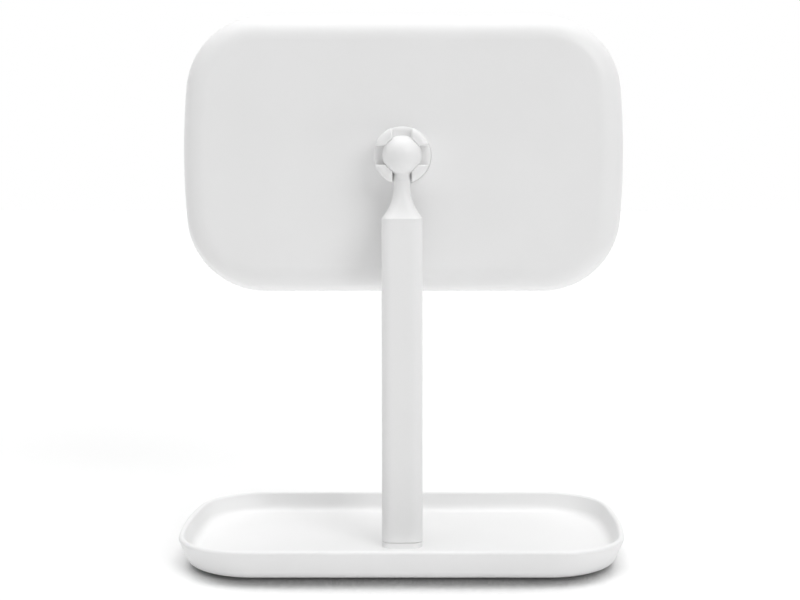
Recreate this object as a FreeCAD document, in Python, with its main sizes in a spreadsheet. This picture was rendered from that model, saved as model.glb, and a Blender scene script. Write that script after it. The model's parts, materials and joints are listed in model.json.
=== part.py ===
import FreeCAD, Part
import math
import os
import re
import Sketcher

# Tabletop makeup mirror: a wide mirror head on a ball joint, a square post and a shallow storage tray.
# Millimetres. +Z is up, the glass faces -Y, and the origin is on the table under the middle of the tray.

doc = FreeCAD.newDocument("makeup_mirror")
sheet = doc.addObject("Spreadsheet::Sheet", "Sizes")

SIZES = {
    # Tray
    "tray_width": 220.2,
    "tray_depth": 121,
    "tray_corner": 33.5,
    "tray_end_bulge": 250,
    "tray_height": 15.4,
    "tray_lift": 1.2,
    "tray_wall_lean": 4.9,
    "tray_foot_round": 5,
    "foot_corner_gain": 8,
    "rim_width": 3.2,
    "rim_round": 1.3,
    "floor_top": 5.9,
    "floor_thickness": 1.8,
    "floor_round": 5,
    "skirt_inset": 12,
    "plinth_height": 2.9,
    "seam_height": 0.3,
    "seam_depth": 0.9,
    "edge_break": 0.35,
    # Closing plate, ballast, feet and their screws under the tray
    "base_cover_land": 0.2,
    "base_cover_recess": 0.2,
    "base_cover_clearance": 0.3,
    "ballast_end_gap": 9,
    "ballast_side_gap": 10.7,
    "ballast_corner": 8,
    "ballast_play": 0.1,
    "ballast_clearance": 1.5,
    "base_screw_inset": 22.3,
    "base_screw_back": 16,
    "base_boss_diameter": 8,
    "base_boss_skin": 0.7,
    "foot_end_inset": 32.3,
    "foot_side_inset": 24.7,
    "foot_diameter": 12,
    "foot_seat": 0.6,
    "foot_clearance": 0.1,
    # Self-tapping screws
    "screw_diameter": 3,
    "screw_head_diameter": 5.6,
    "screw_head_height": 1.8,
    "screw_fit": 0.05,
    "screw_hole_clearance": 0.2,
    "pilot_spare": 0.4,
    "drive_width": 1,
    "drive_depth": 0.9,
    # Post and its fastening
    "post_back": 10.5,
    "post_side": 20,
    "post_corner": 5,
    "post_wall": 2.2,
    "post_top": 168,
    "plug_length": 30,
    "plug_key": 1,
    "plug_clearance": 0.1,
    "key_clearance": 0.2,
    "insert_diameter": 7,
    "insert_length": 12,
    "insert_gap": 0.2,
    "post_screw_diameter": 5,
    "post_screw_length": 18,
    "post_screw_head": 9.2,
    "post_screw_head_height": 2,
    "post_screw_head_gap": 0.2,
    "washer_diameter": 12,
    "washer_thickness": 1,
    "counterbore_clearance": 0.5,
    # Neck, pin and ball
    "neck_diameter": 8,
    "flare_height": 16,
    "flare_flat": 0.08,
    "spigot_length": 18,
    "ball_rise": 31,
    "ball_diameter": 19.4,
    "ball_cove": 1.5,
    "ball_collar": 2.5,
    "ball_seat_gap": 0.06,
    "pin_diameter": 4,
    "pin_in_ball": 15,
    "pin_in_stud": 26,
    "running_clearance": 0.05,
    # Ball socket in the mirror head
    "back_gap": 16,
    "finger_wall": 4.55,
    "socket_rise": 4,
    "mouth_chamfer": 0.4,
    "ball_clearance": 0.06,
    "slot_side_clearance": 0.7,
    "slot_floor_clearance": 1.2,
    "finger_round": 3,
    "finger_edge_round": 0.9,
    "roll_overrun": 0.6,
    "flange_rim": 3.8,
    "flange_thickness": 3.4,
    "socket_clearance": 0.15,
    "pad_diameter": 13,
    "pad_clearance": 0.1,
    "pad_length": 5,
    "spring_inset": 2,
    "spring_wire": 1,
    "spring_turns": 4,
    "socket_plate_rim": 0.25,
    "socket_plate_thickness": 2,
    "socket_boss_gap": 1.35,
    "socket_boss_diameter": 7.4,
    # Mirror head
    "head_raise": 1.1,
    "head_width": 227.6,
    "head_height": 142.7,
    "head_corner": 40.6,
    "head_end_bulge": 387,
    "cover_depth": 8,
    "frame_depth": 10,
    "back_round": 11.7,
    "back_wall": 2,
    "parting_gap": 0.5,
    "frame_flare": 2.8,
    "frame_face": 3.2,
    "frame_round": 1.4,
    "frame_floor_land": 0.7,
    "tongue_clearance": 0.35,
    "tongue_width": 1.6,
    "tongue_length": 2.5,
    "cover_screw_end_inset": 27,
    "cover_screw_side_inset": 26.5,
    "cover_boss_diameter": 7.4,
    "cover_boss_skin": 1,
    "glass_thickness": 3,
    "glass_recess": 0.8,
    "glass_clearance": 0.3,
    "glass_bevel": 0.5,
    "tape_thickness": 0.8,
    "tape_end_inset": 30,
    "tape_side_inset": 26.5,
    "tape_width": 14,
}
for row, (alias, number) in enumerate(SIZES.items(), start=1):
    sheet.set("A%d" % row, alias)
    sheet.set("B%d" % row, str(number))
    sheet.setAlias("B%d" % row, alias)
doc.recompute()

# Heights, depths and places that several pieces share, as formulas on the sheet
COUNTERSINK = "((screw_head_diameter - screw_diameter) / 2)"
BASE_COVER_UNDER = "(tray_lift + base_cover_recess)"
BASE_COVER_THICKNESS = "(%s + base_cover_land)" % COUNTERSINK
BASE_COVER_TOP = "(%s + %s)" % (BASE_COVER_UNDER, BASE_COVER_THICKNESS)
BASE_SCREW_ACROSS = "(tray_width / 2 - base_screw_inset)"
BASE_SCREW_REACH = "(floor_top - base_boss_skin - pilot_spare - %s)" % BASE_COVER_TOP
FOOT_ACROSS = "(tray_width / 2 - foot_end_inset)"
FOOT_BACK = "(tray_depth / 2 - foot_side_inset)"
FLOOR_UNDER = "(floor_top - floor_thickness)"
PLINTH_TOP = "(floor_top + plinth_height)"
KEY_BOTTOM = "(%s - plug_key)" % PLINTH_TOP
WASHER_UNDER = "(%s + post_screw_head_gap + post_screw_head_height)" % BASE_COVER_TOP
POST_INNER = "(post_side / 2 - post_wall)"
BALL_UP = "(post_top + ball_rise)"
HEAD_UP = "(%s + head_raise)" % BALL_UP
COVE_ACROSS = "(neck_diameter / 2 + ball_cove)"
COVE_DROP = "sqrt((ball_diameter / 2 + ball_cove) ^ 2 - %s ^ 2)" % COVE_ACROSS
BALL_SEAT = "(%s + ball_collar)" % COVE_DROP
NECK_RISE = "(ball_rise - %s - ball_seat_gap)" % BALL_SEAT
CAVITY = "(ball_diameter / 2 + ball_clearance)"
PAD_EDGE = "sqrt(%s ^ 2 - pad_diameter ^ 2 / 4)" % CAVITY
SOCKET = "(%s + finger_wall)" % CAVITY
FLANGE = "(%s + flange_rim)" % SOCKET
LIP_RISE = "(socket_rise - mouth_chamfer)"
MOUTH = "(sqrt(%s ^ 2 - %s ^ 2) + mouth_chamfer)" % (CAVITY, LIP_RISE)
SLOT_HALF = "(neck_diameter / 2 + slot_side_clearance)"
SLOT_DEPTH = "(neck_diameter / 2 + slot_floor_clearance)"
FINGER_TIP = "(sqrt(2) * (sqrt(%s ^ 2 - %s ^ 2) - %s))" % (MOUTH, SLOT_HALF, SLOT_HALF)
SOCKET_SCREW_CIRCLE = "(%s + socket_boss_gap + socket_boss_diameter / 2)" % FLANGE
SOCKET_SCREW_OFFSET = "(%s / sqrt(2))" % SOCKET_SCREW_CIRCLE
HEAD_INSIDE = "(back_gap + back_wall)"
FLANGE_BACK = "(%s + flange_thickness)" % HEAD_INSIDE
PARTING = "(back_gap + cover_depth)"
FRAME_BACK = "(%s + parting_gap)" % PARTING
FRONT = "(%s + frame_depth)" % PARTING
GLASS_BACK = "(%s - glass_recess - glass_thickness)" % FRONT
FRAME_FLOOR = "(%s + frame_floor_land)" % COUNTERSINK
FRAME_FLOOR_TOP = "(%s - tape_thickness)" % GLASS_BACK
FRAME_FLOOR_BACK = "(%s - %s)" % (FRAME_FLOOR_TOP, FRAME_FLOOR)
COVER_SCREW_ACROSS = "(head_width / 2 - cover_screw_end_inset)"
COVER_SCREW_UP = "(head_height / 2 - cover_screw_side_inset)"
COVER_SCREW_REACH = "(%s - %s - cover_boss_skin - pilot_spare)" % (FRAME_FLOOR_BACK, HEAD_INSIDE)
ROUND_REACH = "sqrt(back_round ^ 2 - (back_round - cover_depth) ^ 2)"


def formula(text):
    """Point every size name in a formula at its cell."""
    def cell(word):
        return "Sizes." + word.group() if word.group() in SIZES else word.group()
    return re.sub(r"[a-z_]+", cell, text)


def value(text):
    """Work out a formula now."""
    return float(sheet.evalExpression(formula(text)))


def bind(thing, prop, text):
    """Tie a property to a formula on the sheet."""
    thing.setExpression(prop, formula(text))


def body_at(label, across="0", back="0", up="0"):
    """Start a sub-part whose own origin stands at the given place."""
    body = doc.addObject("PartDesign::Body", label)
    body.Label = label
    body.AllowCompound = True
    bind(body, "Placement.Base.x", across)
    bind(body, "Placement.Base.y", back)
    bind(body, "Placement.Base.z", up)
    return body


def plane_of(body, role):
    """Find one of a body's own origin planes or axes."""
    return next(item for item in body.Origin.OriginFeatures if item.Role == role)


def sketch_on(body, role, lift="0"):
    """Start a sketch on one of the body's planes, moved along the plane's normal."""
    sketch = body.newObject("Sketcher::SketchObject", body.Label + "_sketch")
    sketch.AttachmentSupport = [(plane_of(body, role), "")]
    sketch.MapMode = "FlatFace"
    bind(sketch, "AttachmentOffset.Base.z", lift)
    return sketch


def dimension(sketch, kind, *where, text):
    """Add one driving dimension to a sketch and tie it to the sheet."""
    index = sketch.addConstraint(Sketcher.Constraint(kind, *where, value(text)))
    bind(sketch, "Constraints[%d]" % index, text)


def arc_between(start, end, radius, side):
    """Give the arc of a radius between two points, with its centre left (1) or right (-1) of the chord."""
    chord = end - start
    across = FreeCAD.Vector(-chord.y, chord.x, 0).normalize()
    centre = (start + end) / 2 + across * side * math.sqrt(radius ** 2 - chord.Length ** 2 / 4)
    first, last = (start, end) if side > 0 else (end, start)
    angles = [math.atan2(point.y - centre.y, point.x - centre.x) for point in (first, last)]
    return Part.ArcOfCircle(Part.Circle(centre, FreeCAD.Vector(0, 0, 1), radius), *angles)


def closed_profile(sketch, corners, arcs=None):
    """Draw a closed outline from corner formulas; arcs maps an edge to its radius formula and centre side."""
    arcs = arcs or {}
    points = [FreeCAD.Vector(value(x), value(y), 0) for x, y in corners]
    edges = []
    for place, start in enumerate(points):
        end = points[(place + 1) % len(points)]
        radius, side = arcs.get(place, (None, 1))
        shape = arc_between(start, end, value(radius), side) if radius else Part.LineSegment(start, end)
        edges.append((sketch.addGeometry(shape), *((1, 2) if side > 0 else (2, 1))))
    for place, (x, y) in enumerate(corners):
        edge, first, last = edges[place]
        after, after_first, after_last = edges[(place + 1) % len(edges)]
        sketch.addConstraint(Sketcher.Constraint("Coincident", edge, last, after, after_first))
        dimension(sketch, "DistanceX", -1, 1, edge, first, text=x)
        dimension(sketch, "DistanceY", -1, 1, edge, first, text=y)
        if place in arcs:
            dimension(sketch, "Radius", edge, text=arcs[place][0])


def circle(sketch, x, y, radius):
    """Draw a circle from formulas for its centre and radius."""
    centre = FreeCAD.Vector(value(x), value(y), 0)
    index = sketch.addGeometry(Part.Circle(centre, FreeCAD.Vector(0, 0, 1), value(radius)))
    dimension(sketch, "DistanceX", -1, 1, index, 3, text=x)
    dimension(sketch, "DistanceY", -1, 1, index, 3, text=y)
    dimension(sketch, "Radius", index, text=radius)


def round_rectangle(sketch, half_x, half_y, corner, y="0"):
    """Draw a rectangle with round corners about (0, y)."""
    flat_x = "(%s) - (%s)" % (half_x, corner)
    top = "(%s) + (%s)" % (y, half_y)
    bottom = "(%s) - (%s)" % (y, half_y)
    high = "%s - (%s)" % (top, corner)
    low = "%s + (%s)" % (bottom, corner)
    corners = [(flat_x, top), (half_x, high), (half_x, low), (flat_x, bottom),
               ("-(%s)" % flat_x, bottom), ("-(%s)" % half_x, low),
               ("-(%s)" % half_x, high), ("-(%s)" % flat_x, top)]
    closed_profile(sketch, corners, {edge: (corner, -1) for edge in (0, 2, 4, 6)})


def soft_outline(sketch, width, depth, corner, bulge, inset):
    """Draw straight long sides, round corners and slightly bulged ends, moved in by an inset."""
    half_x = "(%s / 2 - (%s))" % (width, inset)
    half_y = "(%s / 2 - (%s))" % (depth, inset)
    turn = "(%s - (%s))" % (corner, inset)
    end = "(%s - (%s))" % (bulge, inset)
    rise = "(%s - %s)" % (half_y, turn)
    reach = "sqrt((%s - %s) ^ 2 - %s ^ 2)" % (end, turn, rise)
    line_x = "%s - %s + %s" % (half_x, end, reach)
    end_x = "%s - %s + %s * %s / (%s - %s)" % (half_x, end, end, reach, end, turn)
    end_y = "%s * %s / (%s - %s)" % (end, rise, end, turn)
    corners = [(line_x, half_y), (end_x, end_y), (end_x, "-(%s)" % end_y), (line_x, "-(%s)" % half_y),
               ("-(%s)" % line_x, "-(%s)" % half_y), ("-(%s)" % end_x, "-(%s)" % end_y),
               ("-(%s)" % end_x, end_y), ("-(%s)" % line_x, half_y)]
    arcs = {edge: (turn, -1) for edge in (0, 2, 4, 6)}
    arcs.update({edge: (end, -1) for edge in (1, 5)})
    closed_profile(sketch, corners, arcs)


def tray_outline(sketch, inset, gain="0"):
    """Draw the tray's outline, moved in by an inset, with its corners made larger by a gain."""
    soft_outline(sketch, "tray_width", "tray_depth", "(tray_corner + %s)" % gain, "tray_end_bulge", inset)


def head_outline(sketch, inset):
    """Draw the mirror head's outline, moved in by an inset."""
    soft_outline(sketch, "head_width", "head_height", "head_corner", "head_end_bulge", inset)


def pad(body, sketch, length, reverse=False):
    """Raise a sketch into a solid."""
    feature = body.newObject("PartDesign::Pad", body.Label + "_pad")
    feature.Profile = sketch
    bind(feature, "Length", length)
    feature.Reversed = reverse
    return feature


def pocket(body, sketch, length, reverse=False):
    """Cut a sketch into the solid."""
    feature = body.newObject("PartDesign::Pocket", body.Label + "_pocket")
    feature.Profile = sketch
    bind(feature, "Length", length)
    feature.Reversed = reverse
    return feature


def loft(body, kind, first, others, ruled=True):
    """Join sketches into a lofted solid or a lofted hollow."""
    feature = body.newObject("PartDesign::" + kind, body.Label + "_loft")
    feature.Profile = first
    feature.Sections = others
    feature.Ruled = ruled
    return feature


def turned(body, sketch, axis):
    """Turn a half section about one of the sketch's axes."""
    feature = body.newObject("PartDesign::Revolution", body.Label + "_turned")
    feature.Profile = sketch
    feature.ReferenceAxis = (sketch, [axis])
    feature.Angle = 360
    return feature


def edges_where(feature, test):
    """Name the edges of a feature that pass a test."""
    doc.recompute()
    return ["Edge%d" % (place + 1) for place, edge in enumerate(feature.Shape.Edges) if test(edge)]


def on_level(axis, level):
    """Make a test for edges that lie wholly at one level along an axis of the body."""
    def test(edge):
        return all(abs(getattr(point, axis) - level) < 0.01 for point in edge.discretize(5))
    return test


def dress(body, kind, base, edges, prop, text):
    """Round or chamfer named edges."""
    feature = body.newObject("PartDesign::" + kind, body.Label + "_edge")
    feature.Base = (base, edges)
    bind(feature, prop, text)
    return feature


def four_of(label, source, normal, prop, place):
    """Repeat a piece on both sides of X = 0 and of a second plane, as one node of four separate solids."""
    group = source
    for direction, base, where in ((FreeCAD.Vector(1, 0, 0), "Base.x", "0"), (normal, prop, place)):
        mirror = doc.addObject("Part::Mirroring", label + "_mirror")
        mirror.Source = group
        mirror.Normal = direction
        bind(mirror, base, where)
        pair = doc.addObject("Part::Compound", label + "_group")
        pair.Links = [group, mirror]
        group = pair
    source.Label = label + "_one"
    group.Label = label
    return group


def four_circles(sketch, x, y, radius, middle="0"):
    """Draw equal circles at (x, y) and its three mirror images about (0, middle)."""
    for side_x in ("", "-"):
        for side_y in (" + ", " - "):
            circle(sketch, side_x + x, middle + side_y + y, radius)


def cross(sketch, half_length, half_width):
    """Draw the plus shape of a cross drive."""
    arms = [(half_width, half_length), (half_width, half_width), (half_length, half_width)]
    turns = [("", ""), ("", "-"), ("-", "-"), ("-", "")]
    corners = []
    for place, (side_x, side_y) in enumerate(turns):
        run = arms if place % 2 == 0 else arms[::-1]
        corners += [("%s(%s)" % (side_x, x), "%s(%s)" % (side_y, y)) for x, y in run]
    closed_profile(sketch, corners)


def along(points, axis):
    """Turn (distance along, radius) pairs into sketch corners for a horizontal or upright axis."""
    return [(run, radius) if axis == "H_Axis" else (radius, run) for run, radius in points]


def cut_drive(body, role, face, half_length, reverse):
    """Cut a cross drive into a screw head's face."""
    sketch = sketch_on(body, role, face)
    cross(sketch, half_length, "drive_width / 2")
    return pocket(body, sketch, "drive_depth", reverse)


def countersunk(body, role, axis, length):
    """Turn a countersunk screw with its head face at the body's origin and its shank along the axis."""
    section = sketch_on(body, role)
    head = "screw_head_diameter / 2"
    shank = "screw_diameter / 2"
    points = [("0", "0"), ("0", head), ("%s - %s" % (head, shank), shank),
              ("%s - %s / 2" % (length, shank), shank), (length, "%s / 2" % shank), (length, "0")]
    closed_profile(section, along(points, axis))
    return turned(body, section, axis)


def pan_head(body, role, axis, head, height, shank, length):
    """Turn a pan-head screw whose head seats at the body's origin and whose shank runs along the axis."""
    section = sketch_on(body, role)
    points = [("-(%s)" % height, "0"), ("-(%s)" % height, "%s - (%s) / 2" % (head, height)),
              ("-(%s) / 2" % height, head), ("0", head), ("0", shank),
              ("%s - %s / 2" % (length, shank), shank), (length, "%s / 2" % shank), (length, "0")]
    closed_profile(section, along(points, axis))
    return turned(body, section, axis)


def make_tray():
    """Shallow dish with leaning walls, a rounded rim, a plinth for the post and bosses underneath."""
    body = body_at("tray")
    rim = sketch_on(body, "XY_Plane", "tray_height")
    tray_outline(rim, "0")
    foot = sketch_on(body, "XY_Plane", "tray_lift")
    tray_outline(foot, "tray_wall_lean", "foot_corner_gain")
    block = loft(body, "AdditiveLoft", rim, [foot])
    lower = edges_where(block, on_level("z", value("tray_lift")))
    dress(body, "Fillet", block, lower, "Radius", "tray_foot_round")
    mouth = sketch_on(body, "XY_Plane", "tray_height")
    tray_outline(mouth, "rim_width")
    floor = sketch_on(body, "XY_Plane", "floor_top")
    share = "(tray_height - floor_top) / (tray_height - tray_lift)"
    tray_outline(floor, "rim_width + tray_wall_lean * " + share, "foot_corner_gain * " + share)
    dish = loft(body, "SubtractiveLoft", mouth, [floor])
    corner = edges_where(dish, on_level("z", value("floor_top")))
    dish = dress(body, "Fillet", dish, corner, "Radius", "min(floor_round; (tray_height - floor_top) * 0.6)")
    lips = edges_where(dish, on_level("z", value("tray_height")))
    dress(body, "Fillet", dish, lips, "Radius", "min(rim_round; rim_width * 0.42)")
    hollow = sketch_on(body, "XY_Plane", "tray_lift")
    tray_outline(hollow, "skirt_inset", "foot_corner_gain")
    pocket(body, hollow, "%s - tray_lift" % FLOOR_UNDER, True)
    plinth = sketch_on(body, "XY_Plane", FLOOR_UNDER)
    round_rectangle(plinth, "post_side / 2", "post_side / 2", "post_corner", "post_back")
    pad(body, plinth, "floor_thickness + plinth_height - seam_height")
    seam = sketch_on(body, "XY_Plane", FLOOR_UNDER)
    land = "(post_side / 2 - seam_depth)"
    round_rectangle(seam, land, land, "post_corner - seam_depth", "post_back")
    pad(body, seam, "floor_thickness + plinth_height")
    key = sketch_on(body, "XY_Plane", PLINTH_TOP)
    side = POST_INNER + " - plug_clearance + key_clearance"
    round_rectangle(key, side, side, "post_corner - post_wall - plug_clearance + key_clearance", "post_back")
    pocket(body, key, "plug_key")
    counterbore = sketch_on(body, "XY_Plane", FLOOR_UNDER)
    circle(counterbore, "0", "post_back", "washer_diameter / 2 + counterbore_clearance")
    pocket(body, counterbore, "%s + washer_thickness - %s" % (WASHER_UNDER, FLOOR_UNDER), True)
    way = sketch_on(body, "XY_Plane", FLOOR_UNDER)
    circle(way, "0", "post_back", "post_screw_diameter / 2 + screw_hole_clearance")
    pocket(body, way, "floor_thickness + plinth_height", True)
    bosses = sketch_on(body, "XY_Plane", BASE_COVER_TOP)
    four_circles(bosses, BASE_SCREW_ACROSS, "base_screw_back", "base_boss_diameter / 2")
    pad(body, bosses, "%s + floor_thickness / 2 - %s" % (FLOOR_UNDER, BASE_COVER_TOP))
    pilots = sketch_on(body, "XY_Plane", BASE_COVER_TOP)
    four_circles(pilots, BASE_SCREW_ACROSS, "base_screw_back", "screw_diameter / 2 + screw_fit")
    pocket(body, pilots, BASE_SCREW_REACH + " + pilot_spare", True)
    return body


def make_ballast_plate():
    """Steel plate between the tray's floor and the base cover, cut out round the post's fastening."""
    body = body_at("ballast_plate")
    plate = sketch_on(body, "XY_Plane", BASE_COVER_TOP)
    half_length = BASE_SCREW_ACROSS + " - base_boss_diameter / 2 - ballast_end_gap"
    half_width = "tray_depth / 2 - skirt_inset - ballast_side_gap"
    round_rectangle(plate, half_length, half_width, "ballast_corner")
    circle(plate, "0", "post_back", "washer_diameter / 2 + counterbore_clearance + ballast_clearance")
    pad(body, plate, "%s - ballast_play - %s" % (FLOOR_UNDER, BASE_COVER_TOP))
    return body


def make_base_cover():
    """Closing plate under the tray, with countersunk screw holes and seats for the feet."""
    body = body_at("base_cover")
    plate = sketch_on(body, "XY_Plane", BASE_COVER_UNDER)
    tray_outline(plate, "skirt_inset + base_cover_clearance", "foot_corner_gain")
    pad(body, plate, BASE_COVER_THICKNESS)
    holes = sketch_on(body, "XY_Plane", BASE_COVER_UNDER)
    four_circles(holes, BASE_SCREW_ACROSS, "base_screw_back", "screw_diameter / 2 + screw_hole_clearance")
    drilled = pocket(body, holes, BASE_COVER_THICKNESS, True)
    radius = value("screw_diameter / 2 + screw_hole_clearance")
    level = on_level("z", value(BASE_COVER_UNDER))
    rims = edges_where(drilled, lambda edge: level(edge) and abs(edge.Length - 2 * math.pi * radius) < 0.01)
    dress(body, "Chamfer", drilled, rims, "Size", COUNTERSINK)
    seats = sketch_on(body, "XY_Plane", BASE_COVER_UNDER)
    four_circles(seats, FOOT_ACROSS, FOOT_BACK, "foot_diameter / 2 + foot_clearance")
    pocket(body, seats, "foot_seat", True)
    return body


def make_base_cover_screws():
    """Four countersunk screws that hold the base cover."""
    body = body_at("base_cover_screw", BASE_SCREW_ACROSS, "base_screw_back", BASE_COVER_UNDER)
    countersunk(body, "XZ_Plane", "V_Axis", "%s + %s" % (BASE_COVER_THICKNESS, BASE_SCREW_REACH))
    cut_drive(body, "XY_Plane", "0", "screw_diameter / 2", True)
    return four_of("base_cover_screws", body, FreeCAD.Vector(0, 1, 0), "Base.y", "0")


def make_rubber_feet():
    """Four round rubber feet set into the base cover."""
    body = body_at("rubber_feet")
    feet = sketch_on(body, "XY_Plane")
    four_circles(feet, FOOT_ACROSS, FOOT_BACK, "foot_diameter / 2")
    pads = pad(body, feet, BASE_COVER_UNDER + " + foot_seat")
    lower = edges_where(pads, on_level("z", 0))
    dress(body, "Fillet", pads, lower, "Radius", "edge_break")
    return body


def make_post():
    """Square tube with round corners between the plinth and the neck."""
    body = body_at("post", back="post_back", up=PLINTH_TOP)
    section = sketch_on(body, "XY_Plane")
    round_rectangle(section, "post_side / 2", "post_side / 2", "post_corner")
    round_rectangle(section, POST_INNER, POST_INNER, "post_corner - post_wall")
    pad(body, section, "post_top - " + PLINTH_TOP)
    return body


def make_post_plug():
    """Plug glued into the foot of the post, keyed into the plinth and bored for its insert and screw."""
    body = body_at("post_plug", back="post_back", up=KEY_BOTTOM)
    block = sketch_on(body, "XY_Plane")
    side = POST_INNER + " - plug_clearance"
    round_rectangle(block, side, side, "post_corner - post_wall - plug_clearance")
    pad(body, block, "plug_key + plug_length")
    seat = sketch_on(body, "XY_Plane")
    circle(seat, "0", "0", "insert_diameter / 2 + screw_fit")
    pocket(body, seat, "insert_gap + insert_length", True)
    bore = sketch_on(body, "XY_Plane")
    circle(bore, "0", "0", "post_screw_diameter / 2 + screw_hole_clearance")
    pocket(body, bore, "post_screw_length + pilot_spare", True)
    return body


def make_plug_insert():
    """Brass bush that takes the post screw."""
    body = body_at("plug_insert", back="post_back", up=KEY_BOTTOM + " + insert_gap")
    ring = sketch_on(body, "XY_Plane")
    circle(ring, "0", "0", "insert_diameter / 2")
    circle(ring, "0", "0", "post_screw_diameter / 2 + screw_fit")
    pad(body, ring, "insert_length")
    return body


def make_post_screw():
    """Machine screw from under the tray into the post."""
    body = body_at("post_screw", back="post_back", up=WASHER_UNDER)
    pan_head(body, "XZ_Plane", "V_Axis", "post_screw_head / 2", "post_screw_head_height",
             "post_screw_diameter / 2", "post_screw_length")
    cut_drive(body, "XY_Plane", "-post_screw_head_height", "post_screw_head / 4", True)
    return body


def make_post_washer():
    """Washer under the post screw's head."""
    body = body_at("post_washer", back="post_back", up=WASHER_UNDER)
    ring = sketch_on(body, "XY_Plane")
    circle(ring, "0", "0", "washer_diameter / 2")
    circle(ring, "0", "0", "post_screw_diameter / 2 + screw_hole_clearance")
    pad(body, ring, "washer_thickness")
    return body


def make_neck_stud():
    """Spigot in the post, a hollow-sided flare from its square top to a round neck, and that neck."""
    body = body_at("neck_stud", back="post_back", up="post_top")
    spigot = sketch_on(body, "XY_Plane", "-spigot_length")
    side = POST_INNER + " - plug_clearance"
    round_rectangle(spigot, side, side, "post_corner - post_wall - plug_clearance")
    pad(body, spigot, "spigot_length")
    spread = "(post_side / 2 - neck_diameter / 2)"
    sweep = "((flare_height ^ 2 + %s ^ 2) / (2 * %s))" % (spread, spread)
    square = "(post_side / 2 - post_corner - flare_flat)"
    steps = 5
    sections = []
    for step in range(steps + 1):
        drop = 1 - step / steps
        level = sketch_on(body, "XY_Plane", "flare_height * %g" % (1 - drop))
        half = "(neck_diameter / 2 + %s - sqrt(%s ^ 2 - (flare_height * %g) ^ 2))" % (sweep, sweep, drop)
        round_rectangle(level, half, half, "%s - flare_flat - %s * %g" % (half, square, drop ** 2))
        sections.append(level)
    loft(body, "AdditiveLoft", sections[0], sections[1:], False)
    neck = sketch_on(body, "XY_Plane", "flare_height - neck_diameter / 16")
    circle(neck, "0", "0", "neck_diameter / 2")
    pad(body, neck, NECK_RISE + " - flare_height + neck_diameter / 16")
    bore = sketch_on(body, "XY_Plane", NECK_RISE)
    circle(bore, "0", "0", "pin_diameter / 2 + screw_fit")
    pocket(body, bore, "pin_in_stud")
    return body


def make_ball_pin():
    """Steel pin through the neck into the ball."""
    body = body_at("ball_pin", back="post_back", up="post_top + %s - pin_in_stud" % NECK_RISE)
    rod = sketch_on(body, "XY_Plane")
    circle(rod, "0", "0", "pin_diameter / 2")
    shaft = pad(body, rod, "pin_in_stud + pin_in_ball")
    ends = edges_where(shaft, lambda edge: isinstance(edge.Curve, Part.Circle))
    dress(body, "Chamfer", shaft, ends, "Size", "edge_break")
    return body


def make_ball():
    """Ball bored from below for its pin, with a cove down to a short collar as wide as the neck."""
    body = body_at("ball", back="post_back", up=BALL_UP)
    section = sketch_on(body, "XZ_Plane")
    bore = "pin_diameter / 2 + running_clearance"
    seat = "-" + BALL_SEAT
    bore_top = "pin_in_ball + running_clearance - " + BALL_SEAT
    share = "ball_diameter / 2 / (ball_diameter / 2 + ball_cove)"
    corners = [(bore, seat), ("neck_diameter / 2", seat), ("neck_diameter / 2", "-" + COVE_DROP),
               ("%s * %s" % (COVE_ACROSS, share), "-%s * %s" % (COVE_DROP, share)),
               ("0", "ball_diameter / 2"), ("0", bore_top), (bore, bore_top)]
    closed_profile(section, corners, {2: ("ball_cove", -1), 3: ("ball_diameter / 2", 1)})
    turned(body, section, "V_Axis")
    return body


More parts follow.
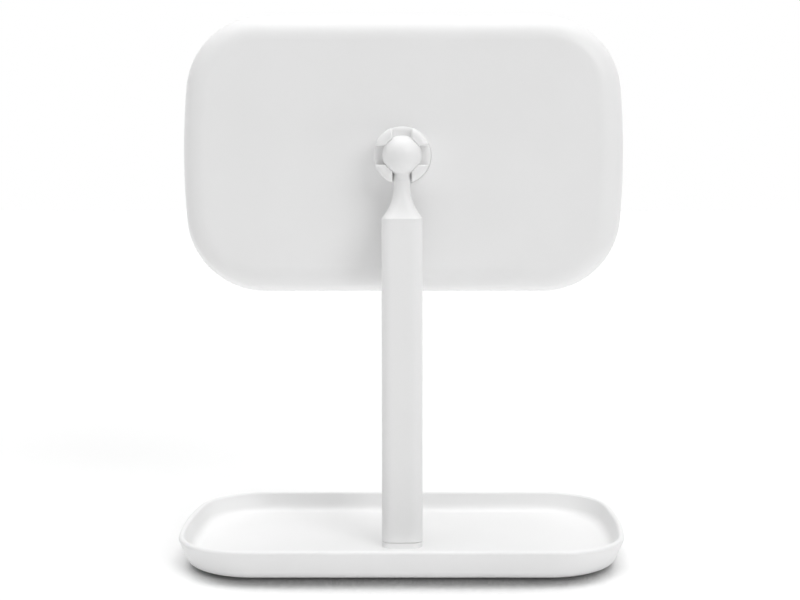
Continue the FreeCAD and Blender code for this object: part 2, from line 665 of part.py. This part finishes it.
def make_ball_socket():
    """Boss through the rear cover whose four fingers reach past the ball's widest part and hold it."""
    body = body_at("ball_socket", back="post_back", up=BALL_UP)
    section = sketch_on(body, "YZ_Plane")
    bore = "(pad_diameter / 2 + pad_clearance)"
    bore_start = "-sqrt(%s ^ 2 - %s ^ 2)" % (CAVITY, bore)
    corners = [("socket_rise", MOUTH), (LIP_RISE, MOUTH + " - mouth_chamfer"), (bore_start, bore),
               ("-(%s)" % FLANGE_BACK, bore), ("-(%s)" % FLANGE_BACK, FLANGE),
               ("-(%s)" % HEAD_INSIDE, FLANGE), ("-(%s)" % HEAD_INSIDE, SOCKET),
               ("socket_rise", SOCKET)]
    closed_profile(section, corners, {1: (CAVITY, 1)})
    boss = turned(body, section, "H_Axis")
    crown = value(SOCKET)
    face = on_level("y", value("socket_rise"))
    outer = edges_where(boss, lambda edge: face(edge) and edge.Length > 2 * math.pi * crown - 0.1)
    rounded = dress(body, "Fillet", boss, outer, "Radius", "finger_round")
    slot = sketch_on(body, "YZ_Plane", SLOT_HALF)
    floor = "-" + SLOT_DEPTH
    fall = floor + " - finger_round"
    top = "2 * socket_rise"
    away = "2 * " + SOCKET
    roll_end = SOCKET + " + roll_overrun"
    outline = [(floor, "0"), (top, "0"), (top, away), (fall, away), (fall, roll_end),
               (floor, roll_end + " - finger_round")]
    closed_profile(slot, outline, {4: ("finger_round", -1)})
    cut = pocket(body, slot, "2 * " + SLOT_HALF)
    doc.recompute()
    slots = body.newObject("PartDesign::PolarPattern", "ball_socket_slots")
    slots.Originals = [cut]
    slots.Axis = (plane_of(body, "Y_Axis"), [""])
    slots.Angle = 360
    slots.Occurrences = 4
    body.Tip = slots
    walls = [on_level(axis, side * value(SLOT_HALF)) for axis in ("x", "z") for side in (1, -1)]
    mouth = value(MOUTH)

    def away_from_axis(edge):
        return [math.hypot(point.x, point.z) for point in edge.discretize(5)]

    def finger_side(edge):
        high = all(point.y > value(floor) + 0.01 for point in edge.discretize(5)[1:-1])
        return high and min(away_from_axis(edge)) > mouth - 0.01 and any(wall(edge) for wall in walls)

    def sill_crease(edge):
        low = value(fall) - 0.01 < edge.BoundBox.YMin and edge.BoundBox.YMax < value(floor) + 0.01
        return low and all(abs(reach - crown) < 0.02 for reach in away_from_axis(edge))
    edges = edges_where(slots, lambda edge: finger_side(edge) or sill_crease(edge))
    limit = "min(finger_edge_round; finger_round * 0.31; %s / 5)" % FINGER_TIP
    softened = dress(body, "Fillet", slots, edges, "Radius", limit)
    doc.recompute()
    assert boss.Shape.Volume > rounded.Shape.Volume > slots.Shape.Volume > softened.Shape.Volume
    return body


def make_friction_pad():
    """Pad with a hollow face that the spring presses on the ball."""
    body = body_at("friction_pad", back="post_back", up=BALL_UP)
    section = sketch_on(body, "YZ_Plane")
    corners = [("-(%s)" % CAVITY, "0"), ("-" + PAD_EDGE, "pad_diameter / 2"),
               ("-%s - pad_length" % PAD_EDGE, "pad_diameter / 2"), ("-%s - pad_length" % PAD_EDGE, "0")]
    closed_profile(section, corners, {0: (CAVITY, -1)})
    turned(body, section, "H_Axis")
    return body


def make_pad_spring():
    """Coil spring between the friction pad and the socket plate."""
    body = body_at("pad_spring", back="post_back", up=BALL_UP)
    start = "(%s + pad_length + spring_wire / 2)" % PAD_EDGE
    wire = sketch_on(body, "YZ_Plane")
    circle(wire, "-" + start, "pad_diameter / 2 - spring_inset", "spring_wire / 2")
    coil = body.newObject("PartDesign::AdditiveHelix", "pad_spring_coil")
    coil.Profile = wire
    coil.ReferenceAxis = (wire, ["H_Axis"])
    coil.Mode = "height-turns-angle"
    bind(coil, "Height", "%s - spring_wire / 2 - %s" % (FLANGE_BACK, start))
    bind(coil, "Turns", "spring_turns")
    coil.Reversed = True
    return body


def make_socket_plate():
    """Plate that closes the back of the socket and clamps its flange to the rear cover."""
    body = body_at("socket_plate", back="post_back", up=BALL_UP)
    rim = "%s + socket_boss_diameter / 2 + socket_plate_rim" % SOCKET_SCREW_CIRCLE
    disc = sketch_on(body, "XZ_Plane", FLANGE_BACK)
    circle(disc, "0", "0", rim)
    four_circles(disc, SOCKET_SCREW_OFFSET, SOCKET_SCREW_OFFSET, "screw_diameter / 2 + screw_hole_clearance")
    plate = pad(body, disc, "socket_plate_thickness")
    outer = edges_where(plate, lambda edge: edge.Length > 2 * math.pi * value(rim) - 0.1)
    dress(body, "Chamfer", plate, outer, "Size", "edge_break")
    return body


def make_socket_screws():
    """Four pan-head screws through the socket plate into the rear cover's bosses."""
    seat = "post_back - (%s) - socket_plate_thickness" % FLANGE_BACK
    body = body_at("socket_screw", SOCKET_SCREW_OFFSET, seat, "%s + %s" % (BALL_UP, SOCKET_SCREW_OFFSET))
    pan_head(body, "YZ_Plane", "H_Axis", "screw_head_diameter / 2", "screw_head_height", "screw_diameter / 2",
             "(socket_plate_thickness + flange_thickness + back_wall / 2 - pilot_spare)")
    cut_drive(body, "XZ_Plane", "screw_head_height", "screw_diameter / 2", False)
    return four_of("socket_screws", body, FreeCAD.Vector(0, 0, 1), "Base.z", BALL_UP)


def rounded_dish(body, kind, wall):
    """Loft the head's rounded back, or its inside a wall deeper, from the parting line to the flat."""
    steps = 6
    sections = []
    for step in range(steps + 1):
        share = (1 - step / steps) ** 2
        down = "(%s + (cover_depth - %s) * %g)" % (wall, wall, share)
        out = "sqrt(abs((back_round - %s) ^ 2 - (back_round - %s) ^ 2))" % (wall, down)
        section = sketch_on(body, "XZ_Plane", "back_gap + " + down)
        head_outline(section, "frame_flare + %s - %s" % (ROUND_REACH, out))
        sections.append(section)
    return loft(body, kind, sections[0], sections[1:], False)


def make_rear_cover():
    """Softly rounded back of the head, with the hole for the ball socket and screw bosses inside."""
    body = body_at("rear_cover", back="post_back", up=HEAD_UP)
    rounded_dish(body, "AdditiveLoft", "0")
    rounded_dish(body, "SubtractiveLoft", "back_wall")
    hole = sketch_on(body, "XZ_Plane", HEAD_INSIDE)
    circle(hole, "0", "-head_raise", SOCKET + " + socket_clearance")
    pocket(body, hole, "2 * back_wall")
    root = "back_gap + back_wall / 2"
    near = sketch_on(body, "XZ_Plane", root)
    boss = "socket_boss_diameter / 2"
    four_circles(near, SOCKET_SCREW_OFFSET, SOCKET_SCREW_OFFSET, boss, "-head_raise")
    pad(body, near, "flange_thickness + back_wall / 2")
    far = sketch_on(body, "XZ_Plane", root)
    four_circles(far, COVER_SCREW_ACROSS, COVER_SCREW_UP, "cover_boss_diameter / 2")
    pad(body, far, "%s - (%s)" % (FRAME_FLOOR_BACK, root))
    near_pilots = sketch_on(body, "XZ_Plane", FLANGE_BACK)
    pilot = "screw_diameter / 2 + screw_fit"
    four_circles(near_pilots, SOCKET_SCREW_OFFSET, SOCKET_SCREW_OFFSET, pilot, "-head_raise")
    pocket(body, near_pilots, "flange_thickness + back_wall / 2")
    far_pilots = sketch_on(body, "XZ_Plane", FRAME_FLOOR_BACK)
    four_circles(far_pilots, COVER_SCREW_ACROSS, COVER_SCREW_UP, pilot)
    pocket(body, far_pilots, COVER_SCREW_REACH + " + pilot_spare")
    return body


def make_front_frame():
    """Flared edge of the head, with a recess for the glass in front and a tongue into the rear cover."""
    body = body_at("front_frame", back="post_back", up=HEAD_UP)
    rear = sketch_on(body, "XZ_Plane", FRAME_BACK)
    head_outline(rear, "frame_flare")
    face = sketch_on(body, "XZ_Plane", FRONT)
    head_outline(face, "0")
    block = loft(body, "AdditiveLoft", rear, [face])
    outer = edges_where(block, on_level("y", -value(FRONT)))
    dress(body, "Fillet", block, outer, "Radius", "frame_round")
    recess = sketch_on(body, "XZ_Plane", FRONT)
    head_outline(recess, "frame_face")
    pocket(body, recess, "glass_recess + glass_thickness + tape_thickness")
    depth = "(cover_depth + parting_gap - tongue_length)"
    wall = "sqrt((back_round - back_wall) ^ 2 - (back_round - %s) ^ 2)" % depth
    inset = "frame_flare + %s - %s + tongue_clearance" % (ROUND_REACH, wall)
    hollow = sketch_on(body, "XZ_Plane", FRAME_BACK)
    head_outline(hollow, inset + " + tongue_width")
    pocket(body, hollow, "%s - %s" % (FRAME_FLOOR_BACK, FRAME_BACK), True)
    tongue = sketch_on(body, "XZ_Plane", FRAME_BACK + " - tongue_length")
    head_outline(tongue, inset)
    head_outline(tongue, inset + " + tongue_width")
    pad(body, tongue, "tongue_length + tongue_width / 2")
    holes = sketch_on(body, "XZ_Plane", FRAME_FLOOR_TOP)
    four_circles(holes, COVER_SCREW_ACROSS, COVER_SCREW_UP, "screw_diameter / 2 + screw_hole_clearance")
    drilled = pocket(body, holes, FRAME_FLOOR)
    radius = value("screw_diameter / 2 + screw_hole_clearance")
    level = on_level("y", -value(FRAME_FLOOR_TOP))
    rims = edges_where(drilled, lambda edge: level(edge) and abs(edge.Length - 2 * math.pi * radius) < 0.01)
    dress(body, "Chamfer", drilled, rims, "Size", COUNTERSINK)
    return body


def make_cover_screws():
    """Four countersunk screws from the frame into the rear cover, under the glass."""
    body = body_at("cover_screw", COVER_SCREW_ACROSS, "post_back - " + FRAME_FLOOR_TOP,
                   "%s + %s" % (HEAD_UP, COVER_SCREW_UP))
    countersunk(body, "YZ_Plane", "H_Axis", "%s + %s" % (FRAME_FLOOR, COVER_SCREW_REACH))
    cut_drive(body, "XZ_Plane", "0", "screw_diameter / 2", False)
    return four_of("cover_screws", body, FreeCAD.Vector(0, 0, 1), "Base.z", HEAD_UP)


def make_glass_tape():
    """Three foam strips that hold the glass to the frame."""
    body = body_at("glass_tape", back="post_back", up=HEAD_UP)
    strips = sketch_on(body, "XZ_Plane", FRAME_FLOOR_TOP)
    spacing = "(head_height / 2 - tape_side_inset)"
    for place in (spacing, "0", "-" + spacing):
        round_rectangle(strips, "head_width / 2 - tape_end_inset", "tape_width / 2", "tape_width / 8", place)
    pad(body, strips, "tape_thickness")
    return body


def make_mirror_glass():
    """Mirror glass with a ground front edge."""
    body = body_at("mirror_glass", back="post_back", up=HEAD_UP)
    pane = sketch_on(body, "XZ_Plane", GLASS_BACK)
    head_outline(pane, "frame_face + glass_clearance")
    slab = pad(body, pane, "glass_thickness")
    edge = edges_where(slab, on_level("y", -value(FRONT + " - glass_recess")))
    dress(body, "Chamfer", slab, edge, "Size", "glass_bevel")
    return body


parts = [make_tray(), make_ballast_plate(), make_base_cover(), make_base_cover_screws(), make_rubber_feet(),
         make_post(), make_post_plug(), make_plug_insert(), make_post_screw(), make_post_washer(),
         make_neck_stud(), make_ball_pin(), make_ball(), make_ball_socket(), make_friction_pad(),
         make_pad_spring(), make_socket_plate(), make_socket_screws(), make_rear_cover(), make_front_frame(),
         make_cover_screws(), make_glass_tape(), make_mirror_glass()]
doc.recompute()

for item in doc.Objects:
    if "Invalid" in item.State or "Error" in item.State:
        raise RuntimeError("%s did not build: %s" % (item.Label, item.State))
for part in parts:
    if part.Shape.isNull() or not part.Shape.isValid() or not part.Shape.Solids:
        raise RuntimeError("%s has no sound solid" % part.Label)

os.makedirs("parts", exist_ok=True)
for part in parts:
    part.Shape.exportStep("parts/%s.step" % part.Label)
    box = part.Shape.BoundBox
    print("%-18s %2d solid(s) %10.1f mm3  x %.2f..%.2f  y %.2f..%.2f  z %.2f..%.2f" % (
        part.Label, len(part.Shape.Solids), part.Shape.Volume, box.XMin, box.XMax, box.YMin, box.YMax,
        box.ZMin, box.ZMax))
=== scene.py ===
# %% [markdown]
# A makeup mirror stands on a table: a shallow white tray, a square post, a ball joint and a wide mirror
# head, seen from behind. The solids come from the imported CAD model, already in metres and in their places,
# so this lesson is about their finishes, the light and the camera.

# %% Load the solids
import json
import math

import bpy
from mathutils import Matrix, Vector


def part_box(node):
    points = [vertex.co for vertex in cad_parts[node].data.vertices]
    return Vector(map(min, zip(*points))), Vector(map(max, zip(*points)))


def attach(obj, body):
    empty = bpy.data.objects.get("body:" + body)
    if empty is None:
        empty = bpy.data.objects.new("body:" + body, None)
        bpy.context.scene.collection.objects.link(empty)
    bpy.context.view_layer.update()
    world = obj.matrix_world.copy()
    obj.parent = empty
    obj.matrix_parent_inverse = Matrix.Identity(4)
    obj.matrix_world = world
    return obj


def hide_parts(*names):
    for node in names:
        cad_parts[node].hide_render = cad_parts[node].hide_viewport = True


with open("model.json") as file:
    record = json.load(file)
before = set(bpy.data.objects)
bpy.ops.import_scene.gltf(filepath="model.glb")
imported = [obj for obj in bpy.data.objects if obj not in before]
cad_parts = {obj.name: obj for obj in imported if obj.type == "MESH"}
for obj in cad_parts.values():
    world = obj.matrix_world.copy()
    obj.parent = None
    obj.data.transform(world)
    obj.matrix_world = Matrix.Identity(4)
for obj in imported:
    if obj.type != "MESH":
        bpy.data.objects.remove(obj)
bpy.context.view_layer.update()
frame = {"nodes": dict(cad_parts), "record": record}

record = frame["record"]


bpy.context.scene.view_settings.view_transform = "Standard"

# %% [markdown]
# Every finish is a small node tree around one Principled shader. All patterns read Object coordinates,
# which are metres here, so a noise of scale 2000 has grains of half a millimetre. Five helpers are enough:
# they start a finish, make a noise, spread it over two limits, raise it as a grain and let the colour drift
# with it.

# %% Helpers for finishes
PATTERN_MIDDLE = (0.3, 0.7)
TONE_STOPS = (0.35, 0.65)


def start_finish(name, colour, roughness, metallic=0.0):
    """Make a material with one Principled shader; return it, its tree, the shader and Object coordinates."""
    material = bpy.data.materials.new(name)
    material.use_nodes = True
    tree = material.node_tree
    shader = tree.nodes["Principled BSDF"]
    shader.inputs["Base Color"].default_value = (*colour, 1)
    shader.inputs["Roughness"].default_value = roughness
    shader.inputs["Metallic"].default_value = metallic
    place = tree.nodes.new("ShaderNodeTexCoord").outputs["Object"]
    return material, tree, shader, place


def noise(tree, place, scale, detail=3.0, stretch=(1, 1, 1)):
    """Give a noise pattern, stretched along the axes where asked."""
    mapping = tree.nodes.new("ShaderNodeMapping")
    mapping.inputs["Scale"].default_value = stretch
    tree.links.new(place, mapping.inputs["Vector"])
    texture = tree.nodes.new("ShaderNodeTexNoise")
    texture.inputs["Scale"].default_value = scale
    texture.inputs["Detail"].default_value = detail
    tree.links.new(mapping.outputs["Vector"], texture.inputs["Vector"])
    return texture.outputs["Fac"]


def between(tree, pattern, low, high):
    """Spread a pattern's middle range over two limits."""
    spread = tree.nodes.new("ShaderNodeMapRange")
    spread.inputs["From Min"].default_value, spread.inputs["From Max"].default_value = PATTERN_MIDDLE
    spread.inputs["To Min"].default_value = low
    spread.inputs["To Max"].default_value = high
    tree.links.new(pattern, spread.inputs["Value"])
    return spread.outputs["Result"]


def grain(tree, shader, pattern, depth, strength):
    """Raise a fine pattern out of the surface as a bump."""
    bump = tree.nodes.new("ShaderNodeBump")
    bump.inputs["Distance"].default_value = depth
    bump.inputs["Strength"].default_value = strength
    tree.links.new(pattern, bump.inputs["Height"])
    tree.links.new(bump.outputs["Normal"], shader.inputs["Normal"])


def two_tones(tree, shader, pattern, dark, light):
    """Let the base colour drift between two close tones."""
    tone = tree.nodes.new("ShaderNodeValToRGB")
    for stop, position, colour in zip(tone.color_ramp.elements, TONE_STOPS, (dark, light)):
        stop.position = position
        stop.color = (*colour, 1)
    tree.links.new(pattern, tone.inputs["Fac"])
    tree.links.new(tone.outputs["Color"], shader.inputs["Base Color"])


# %% [markdown]
# The shells are injection-moulded white plastic. Up close it has a very fine spark-eroded grain that makes
# it satin, and flow in the mould leaves the gloss slightly uneven over centimetres. Both are small: the eye
# reads them only in the way highlights spread.

# %% White satin plastic


def white_plastic():
    """Moulded white plastic with a fine satin grain."""
    material, tree, shader, place = start_finish("white_plastic", colour=(0.9, 0.9, 0.9), roughness=0.4)
    flow = noise(tree, place, scale=22, detail=2.0)
    two_tones(tree, shader, flow, dark=(0.893, 0.893, 0.892), light=(0.907, 0.907, 0.907))
    tree.links.new(between(tree, flow, low=0.36, high=0.44), shader.inputs["Roughness"])
    grain(tree, shader, noise(tree, place, scale=2600), depth=0.00002, strength=0.35)
    return material


def inner_plastic():
    """Plain moulding of the pieces that only show from below or inside."""
    material, tree, shader, place = start_finish("inner_plastic", colour=(0.8, 0.8, 0.79), roughness=0.5)
    flow = noise(tree, place, scale=35, detail=3.0)
    two_tones(tree, shader, flow, dark=(0.78, 0.78, 0.77), light=(0.82, 0.82, 0.81))
    tree.links.new(between(tree, flow, low=0.42, high=0.56), shader.inputs["Roughness"])
    grain(tree, shader, noise(tree, place, scale=1400), depth=0.00004, strength=0.4)
    return material


# %% [markdown]
# Metal shows little: screws under the base, the ballast plate and the brass bush inside. Steel has drawn
# streaks, so its noise is squeezed along one axis, and the streaks vary the roughness. Brass gets turned
# rings the same way.

# %% Metals


def steel():
    """Zinc-plated steel with fine streaks."""
    material, tree, shader, place = start_finish(
        "steel", colour=(0.62, 0.62, 0.63), roughness=0.32, metallic=1.0)
    streaks = noise(tree, place, scale=900, detail=4.0, stretch=(0.06, 1, 1))
    two_tones(tree, shader, streaks, dark=(0.56, 0.56, 0.57), light=(0.68, 0.68, 0.69))
    tree.links.new(between(tree, streaks, low=0.24, high=0.42), shader.inputs["Roughness"])
    grain(tree, shader, streaks, depth=0.00002, strength=0.3)
    return material


def brass():
    """Turned brass."""
    material, tree, shader, place = start_finish(
        "brass", colour=(0.72, 0.56, 0.27), roughness=0.28, metallic=1.0)
    rings = noise(tree, place, scale=1200, detail=3.0, stretch=(0.1, 0.1, 1))
    two_tones(tree, shader, rings, dark=(0.66, 0.5, 0.23), light=(0.78, 0.62, 0.32))
    tree.links.new(between(tree, rings, low=0.2, high=0.36), shader.inputs["Roughness"])
    return material


# %% [markdown]
# The feet are soft grey rubber with a dusty bloom, the strips behind the glass are foam with open cells,
# and the glass is silvered. A mirror is a metal with almost no roughness: a trace of it, cloudy, keeps the
# reflection from looking computed. The pane in front of the silver takes a little light and leaves a breath
# of green.

# %% Rubber, foam and silvered glass


def rubber():
    """Soft grey rubber with a dusty bloom."""
    material, tree, shader, place = start_finish("rubber", colour=(0.6, 0.6, 0.6), roughness=0.75)
    bloom = noise(tree, place, scale=260, detail=4.0)
    two_tones(tree, shader, bloom, dark=(0.54, 0.54, 0.54), light=(0.64, 0.64, 0.63))
    tree.links.new(between(tree, bloom, low=0.68, high=0.85), shader.inputs["Roughness"])
    grain(tree, shader, noise(tree, place, scale=3000), depth=0.00003, strength=0.5)
    return material


def foam():
    """Double-sided foam strip with open cells."""
    material, tree, shader, place = start_finish("foam", colour=(0.8, 0.8, 0.78), roughness=0.9)
    cells = tree.nodes.new("ShaderNodeTexVoronoi")
    cells.inputs["Scale"].default_value = 2500
    tree.links.new(place, cells.inputs["Vector"])
    two_tones(tree, shader, cells.outputs["Distance"], dark=(0.7, 0.7, 0.68), light=(0.82, 0.82, 0.8))
    grain(tree, shader, cells.outputs["Distance"], depth=0.0001, strength=0.8)
    return material


def mirror():
    """Silvered glass with a trace of haze."""
    material, tree, shader, place = start_finish(
        "mirror", colour=(0.86, 0.88, 0.87), roughness=0.015, metallic=1.0)
    haze = noise(tree, place, scale=9, detail=2.0)
    tree.links.new(between(tree, haze, low=0.008, high=0.02), shader.inputs["Roughness"])
    two_tones(tree, shader, haze, dark=(0.853, 0.873, 0.863), light=(0.867, 0.887, 0.877))
    return material


# %% [markdown]
# The record says which slot each solid belongs to, so the finishes are handed out in one loop. Only the
# list of materials changes; the CAD mesh itself is left alone.

# %% Hand out the finishes
makers = (white_plastic, inner_plastic, steel, brass, rubber, foam, mirror)
finishes = {make.__name__: make() for make in makers}
for subpart in record["subparts"]:
    node = frame["nodes"][subpart["node"]]
    node.data.materials.clear()
    node.data.materials.append(finishes[subpart["material_slot"]])
print("finishes:", sorted(finishes))

# %% [markdown]
# The CAD feet are plain discs. Moulded rubber feet have a rounded edge, a ring groove that grips the table
# and a hollow middle. Each one starts as a flat disc in its seat and is drawn down in steps: an extrusion,
# then a resize of the new cap. The four are joined into one piece that stands for the CAD node. Lengths are
# metres.

# %% Moulded feet
FOOT_RADIUS = 0.006
FOOT_EDGE = 0.0008
FOOT_SIDES = 72
EDGE_STEPS = 6
GROOVE_RADII = (0.0044, 0.0033)
GROOVE_DEPTH = 0.0003
HOLLOW_RADIUS = 0.0022
HOLLOW_DEPTH = 0.0005
SLOPE = 0.0002
SMOOTH_ANGLE = math.radians(40)


def foot_steps():
    """List the cap's radius and height after each step, from the straight side to the hollow middle."""
    edge = []
    for step in range(EDGE_STEPS + 1):
        turn = math.pi / 2 * step / EDGE_STEPS
        edge.append((FOOT_RADIUS - FOOT_EDGE * (1 - math.cos(turn)), FOOT_EDGE * (1 - math.sin(turn))))
    outer, inner = GROOVE_RADII
    groove = [(outer, 0), (outer - SLOPE, GROOVE_DEPTH), (inner + SLOPE, GROOVE_DEPTH), (inner, 0)]
    hollow = [(HOLLOW_RADIUS, 0), (HOLLOW_RADIUS - SLOPE, HOLLOW_DEPTH)]
    return edge + groove + hollow


def moulded_foot(across, back, top):
    """Draw one foot down from its seat."""
    bpy.ops.object.select_all(action="DESELECT")
    bpy.ops.mesh.primitive_circle_add(vertices=FOOT_SIDES, radius=FOOT_RADIUS, fill_type="NGON",
                                      location=(across, back, top))
    foot = bpy.context.object
    bpy.ops.object.mode_set(mode="EDIT")
    bpy.ops.mesh.select_all(action="SELECT")
    radius, height = FOOT_RADIUS, top
    for next_radius, next_height in foot_steps():
        bpy.ops.mesh.extrude_region_move(TRANSFORM_OT_translate={"value": (0, 0, next_height - height)})
        bpy.ops.transform.resize(value=(next_radius / radius, next_radius / radius, 1))
        radius, height = next_radius, next_height
    bpy.ops.mesh.select_all(action="SELECT")
    bpy.ops.mesh.normals_make_consistent(inside=False)
    bpy.ops.object.mode_set(mode="OBJECT")
    bpy.ops.object.transform_apply(location=True, rotation=False, scale=False)
    return foot


_, feet_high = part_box("rubber_feet")
seat_across, seat_back = feet_high[0] - FOOT_RADIUS, feet_high[1] - FOOT_RADIUS
feet = [moulded_foot(across * seat_across, back * seat_back, feet_high[2])
        for across in (-1, 1) for back in (-1, 1)]
bpy.ops.object.select_all(action="DESELECT")
for foot in feet:
    foot.select_set(True)
moulded_feet = feet[0]
bpy.context.view_layer.objects.active = moulded_feet
bpy.ops.object.join()
bpy.ops.object.shade_smooth_by_angle(angle=SMOOTH_ANGLE)
moulded_feet.name = "moulded_feet"
moulded_feet.data.materials.append(finishes["rubber"])
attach(moulded_feet, "stand")
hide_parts("rubber_feet")
print("moulded feet:", len(moulded_feet.data.polygons), "faces")

# %% [markdown]
# The stage is a plain pale floor that runs to the horizon. It is lit like the object and keeps its shadow.
# Under the tray's near edge the photograph's shadow is deeper than soft lamps give: there the tray hides
# the bright end of the stage. So the paper is also seen darker where an occlusion lookup toward that end
# finds the tray near, while it still throws all its light back at the tray. A trace of its own glow brings
# its far end up to the white of the world behind it. The world lights nothing: it is plain white where it
# is seen.

# %% Floor and world
FLOOR_WIDTH = 12.0
FLOOR_GLOW = 0.04
PAPER_TONE = 0.98
PAPER_ROUGHNESS = 0.8
STAGE_END = (0, -1, 0.2)
CONTACT_REACH = 0.06
CONTACT_RANGE = (0.4, 0.6)
# Darkest tone of the painted shadow on the paper next to the tray.
PAINTED_SHADOW_TONE = 0.1


def seen_rays(tree):
    """Give 1 for rays of the camera, of reflections and of glass, and 0 for those that light surfaces."""
    path = tree.nodes.new("ShaderNodeLightPath")
    seen = path.outputs["Is Camera Ray"]
    for ray in ("Is Glossy Ray", "Is Transmission Ray"):
        either = tree.nodes.new("ShaderNodeMath")
        either.operation = "MAXIMUM"
        tree.links.new(seen, either.inputs[0])
        tree.links.new(path.outputs[ray], either.inputs[1])
        seen = either.outputs["Value"]
    return seen


bpy.ops.object.select_all(action="DESELECT")
bpy.ops.mesh.primitive_plane_add(size=FLOOR_WIDTH, location=(0, 0, 0))
floor = bpy.context.object
floor.name = "floor"
paper, paper_tree, paper_shader, _ = start_finish("floor_paper", (PAPER_TONE,) * 3, PAPER_ROUGHNESS)
paper_shader.inputs["Specular IOR Level"].default_value = 0.0
# Painted shadow: as camera, reflection and glass rays see it, the paper's colour darkens to a near-black
# tone where the occlusion lookup finds the tray near. This adds to the lamps' real shadow; the light the
# paper throws back is not darkened.
near_tray = paper_tree.nodes.new("ShaderNodeAmbientOcclusion")
near_tray.inputs["Distance"].default_value = CONTACT_REACH
stage_end = paper_tree.nodes.new("ShaderNodeNormal")
stage_end.outputs["Normal"].default_value = Vector(STAGE_END).normalized()
paper_tree.links.new(stage_end.outputs["Normal"], near_tray.inputs["Normal"])
painted_contact_shadow = paper_tree.nodes.new("ShaderNodeMapRange")
painted_contact_shadow.inputs["From Min"].default_value, painted_contact_shadow.inputs["From Max"].default_value = CONTACT_RANGE
painted_contact_shadow.inputs["To Min"].default_value = PAINTED_SHADOW_TONE
painted_contact_shadow.inputs["To Max"].default_value = PAPER_TONE
paper_tree.links.new(near_tray.outputs["AO"], painted_contact_shadow.inputs["Value"])
seen_paper = seen_rays(paper_tree)
tone = paper_tree.nodes.new("ShaderNodeMix")
tone.inputs["A"].default_value = PAPER_TONE
paper_tree.links.new(seen_paper, tone.inputs["Factor"])
paper_tree.links.new(painted_contact_shadow.outputs["Result"], tone.inputs["B"])
paper_tree.links.new(tone.outputs["Result"], paper_shader.inputs["Base Color"])
paper_shader.inputs["Emission Color"].default_value = (1, 1, 1, 1)
glow = paper_tree.nodes.new("ShaderNodeMath")
glow.operation = "MULTIPLY"
glow.inputs[1].default_value = FLOOR_GLOW
paper_tree.links.new(seen_paper, glow.inputs[0])
paper_tree.links.new(glow.outputs["Value"], paper_shader.inputs["Emission Strength"])
floor.data.materials.append(paper)

world = bpy.data.worlds.new("studio")
bpy.context.scene.world = world
world.use_nodes = True
sky = world.node_tree
white = sky.nodes["Background"]
white.inputs["Color"].default_value = (1, 1, 1, 1)
sky.links.new(seen_rays(sky), white.inputs["Strength"])
print("floor and world ready")

# %% [markdown]
# Soft lamps do the rest. Two overhead, one wide and one very wide, brighten all that faces up: the tray's
# floor, the rims and the top of the ball. The floor throws much of that light back at the upright faces. A
# smaller lamp from the camera's right gives the post its soft shadow on the mirror's back, and a weak one
# fills the left side. Suns light the whole floor evenly, and their angle sets how soft the shadows are.

# %% Lamps


def soft_sun(name, toward, strength, spread):
    """Add a sun that shines from a direction, with a spread in degrees."""
    bpy.ops.object.light_add(type="SUN", location=toward)
    lamp = bpy.context.object
    lamp.name = name
    lamp.data.energy = strength
    lamp.data.angle = math.radians(spread)
    lamp.rotation_mode = "QUATERNION"
    lamp.rotation_quaternion = Vector(toward).to_track_quat("Z", "Y")


soft_sun("overhead_lamp", toward=(0, 0.02, 1), strength=1.68, spread=60)
soft_sun("ceiling_lamp", toward=(0, 0, 1), strength=1.12, spread=120)
soft_sun("key_lamp", toward=(-0.62, 0.76, 0.52), strength=0.77, spread=32)
soft_sun("fill_lamp", toward=(1, 0.15, 0.3), strength=0.2, spread=40)

# %% [markdown]
# The photograph was taken from behind the mirror, a little to one side and just under the ball's height.
# The tray's edges run level across the picture and the post's edges stay upright, so the camera looks
# almost straight ahead, with the lens shifted to bring the object into the picture. Part of the upright
# shift is taken by a small dip, so that the frame also suits other views.

# %% Camera
CAMERA_PLACE = Vector((-0.016, 0.6855, 0.1909))
CAMERA_DIP = math.radians(2.36)
CAMERA_LENS = 61.59
CAMERA_SHIFT = (-0.0432, -0.09)
CAMERA_NEAR = 0.01

bpy.ops.object.camera_add(location=CAMERA_PLACE)
camera = bpy.context.object
camera.name = "camera"
camera.data.lens = CAMERA_LENS
camera.data.shift_x, camera.data.shift_y = CAMERA_SHIFT
camera.data.clip_start = CAMERA_NEAR
aim = Vector((0, -math.cos(CAMERA_DIP), -math.sin(CAMERA_DIP)))
camera.rotation_mode = "QUATERNION"
camera.rotation_quaternion = aim.to_track_quat("-Z", "Y")
bpy.context.scene.camera = camera
print("camera at", [round(value, 3) for value in CAMERA_PLACE])
